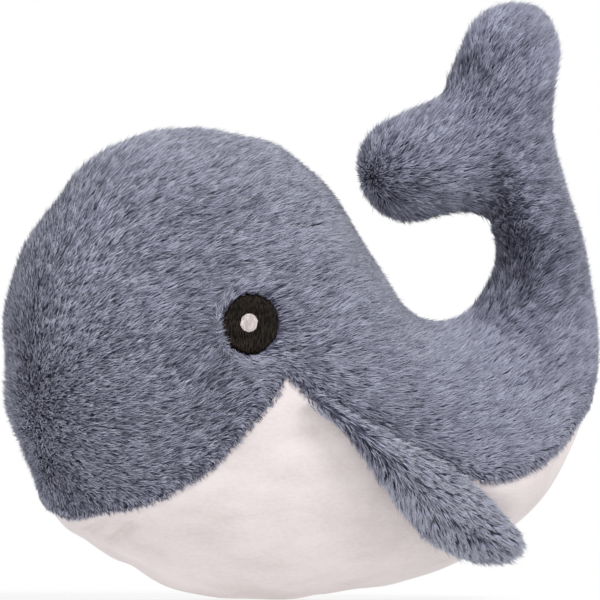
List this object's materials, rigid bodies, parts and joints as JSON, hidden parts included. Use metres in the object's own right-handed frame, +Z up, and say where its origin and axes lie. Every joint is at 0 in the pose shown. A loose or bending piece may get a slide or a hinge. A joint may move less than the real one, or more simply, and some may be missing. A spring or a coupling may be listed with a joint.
{
  "type": "plush whale",
  "caption": "Stuffed soft toy whale with a round head, curled-up tail, two flukes, a pale belly, embroidered eyes and two hinged flippers.",
  "frame": {"origin": "middle of the footprint, on the floor plane under the belly", "axes": "+Z up, the head points to -X and the tail to +X, the whale's left side is -Y"},
  "size_m": [0.249, 0.1418, 0.2487],
  "materials": {
    "side_fur": "long soft grey-blue pile",
    "flipper_fur": "long soft grey-blue pile",
    "belly_plush": "short warm white velvet pile",
    "fibre_filling": "loose white polyester fibre",
    "black_thread": "satin stitch in black thread",
    "white_thread": "satin stitch in off-white thread"
  },
  "bodies": {
    "body": {"left_side_panel": "side_fur", "right_side_panel": "side_fur", "belly_panel": "belly_plush", "body_stuffing": "fibre_filling", "tail_stuffing": "fibre_filling", "upper_fluke_stuffing": "fibre_filling", "lower_fluke_stuffing": "fibre_filling", "left_eye": "black_thread", "left_eye_highlight": "white_thread", "right_eye": "black_thread", "right_eye_highlight": "white_thread"},
    "left_flipper": {"left_flipper_outer_panel": "flipper_fur", "left_flipper_inner_panel": "flipper_fur", "left_flipper_stuffing": "fibre_filling"},
    "right_flipper": {"right_flipper_outer_panel": "flipper_fur", "right_flipper_inner_panel": "flipper_fur", "right_flipper_stuffing": "fibre_filling"}
  },
  "joints": [
    {"name": "left_flipper_hinge", "type": "hinge", "parent": "body", "child": "left_flipper", "pos_m": [-0.0025, -0.0699, 0.0861], "axis": [-0.8679, -0.2163, 0.4471], "range_deg": [0, 90]},
    {"name": "right_flipper_hinge", "type": "hinge", "parent": "body", "child": "right_flipper", "pos_m": [-0.0025, 0.0699, 0.0861], "axis": [0.8679, -0.2163, -0.4471], "range_deg": [0, 90]}
  ]
}
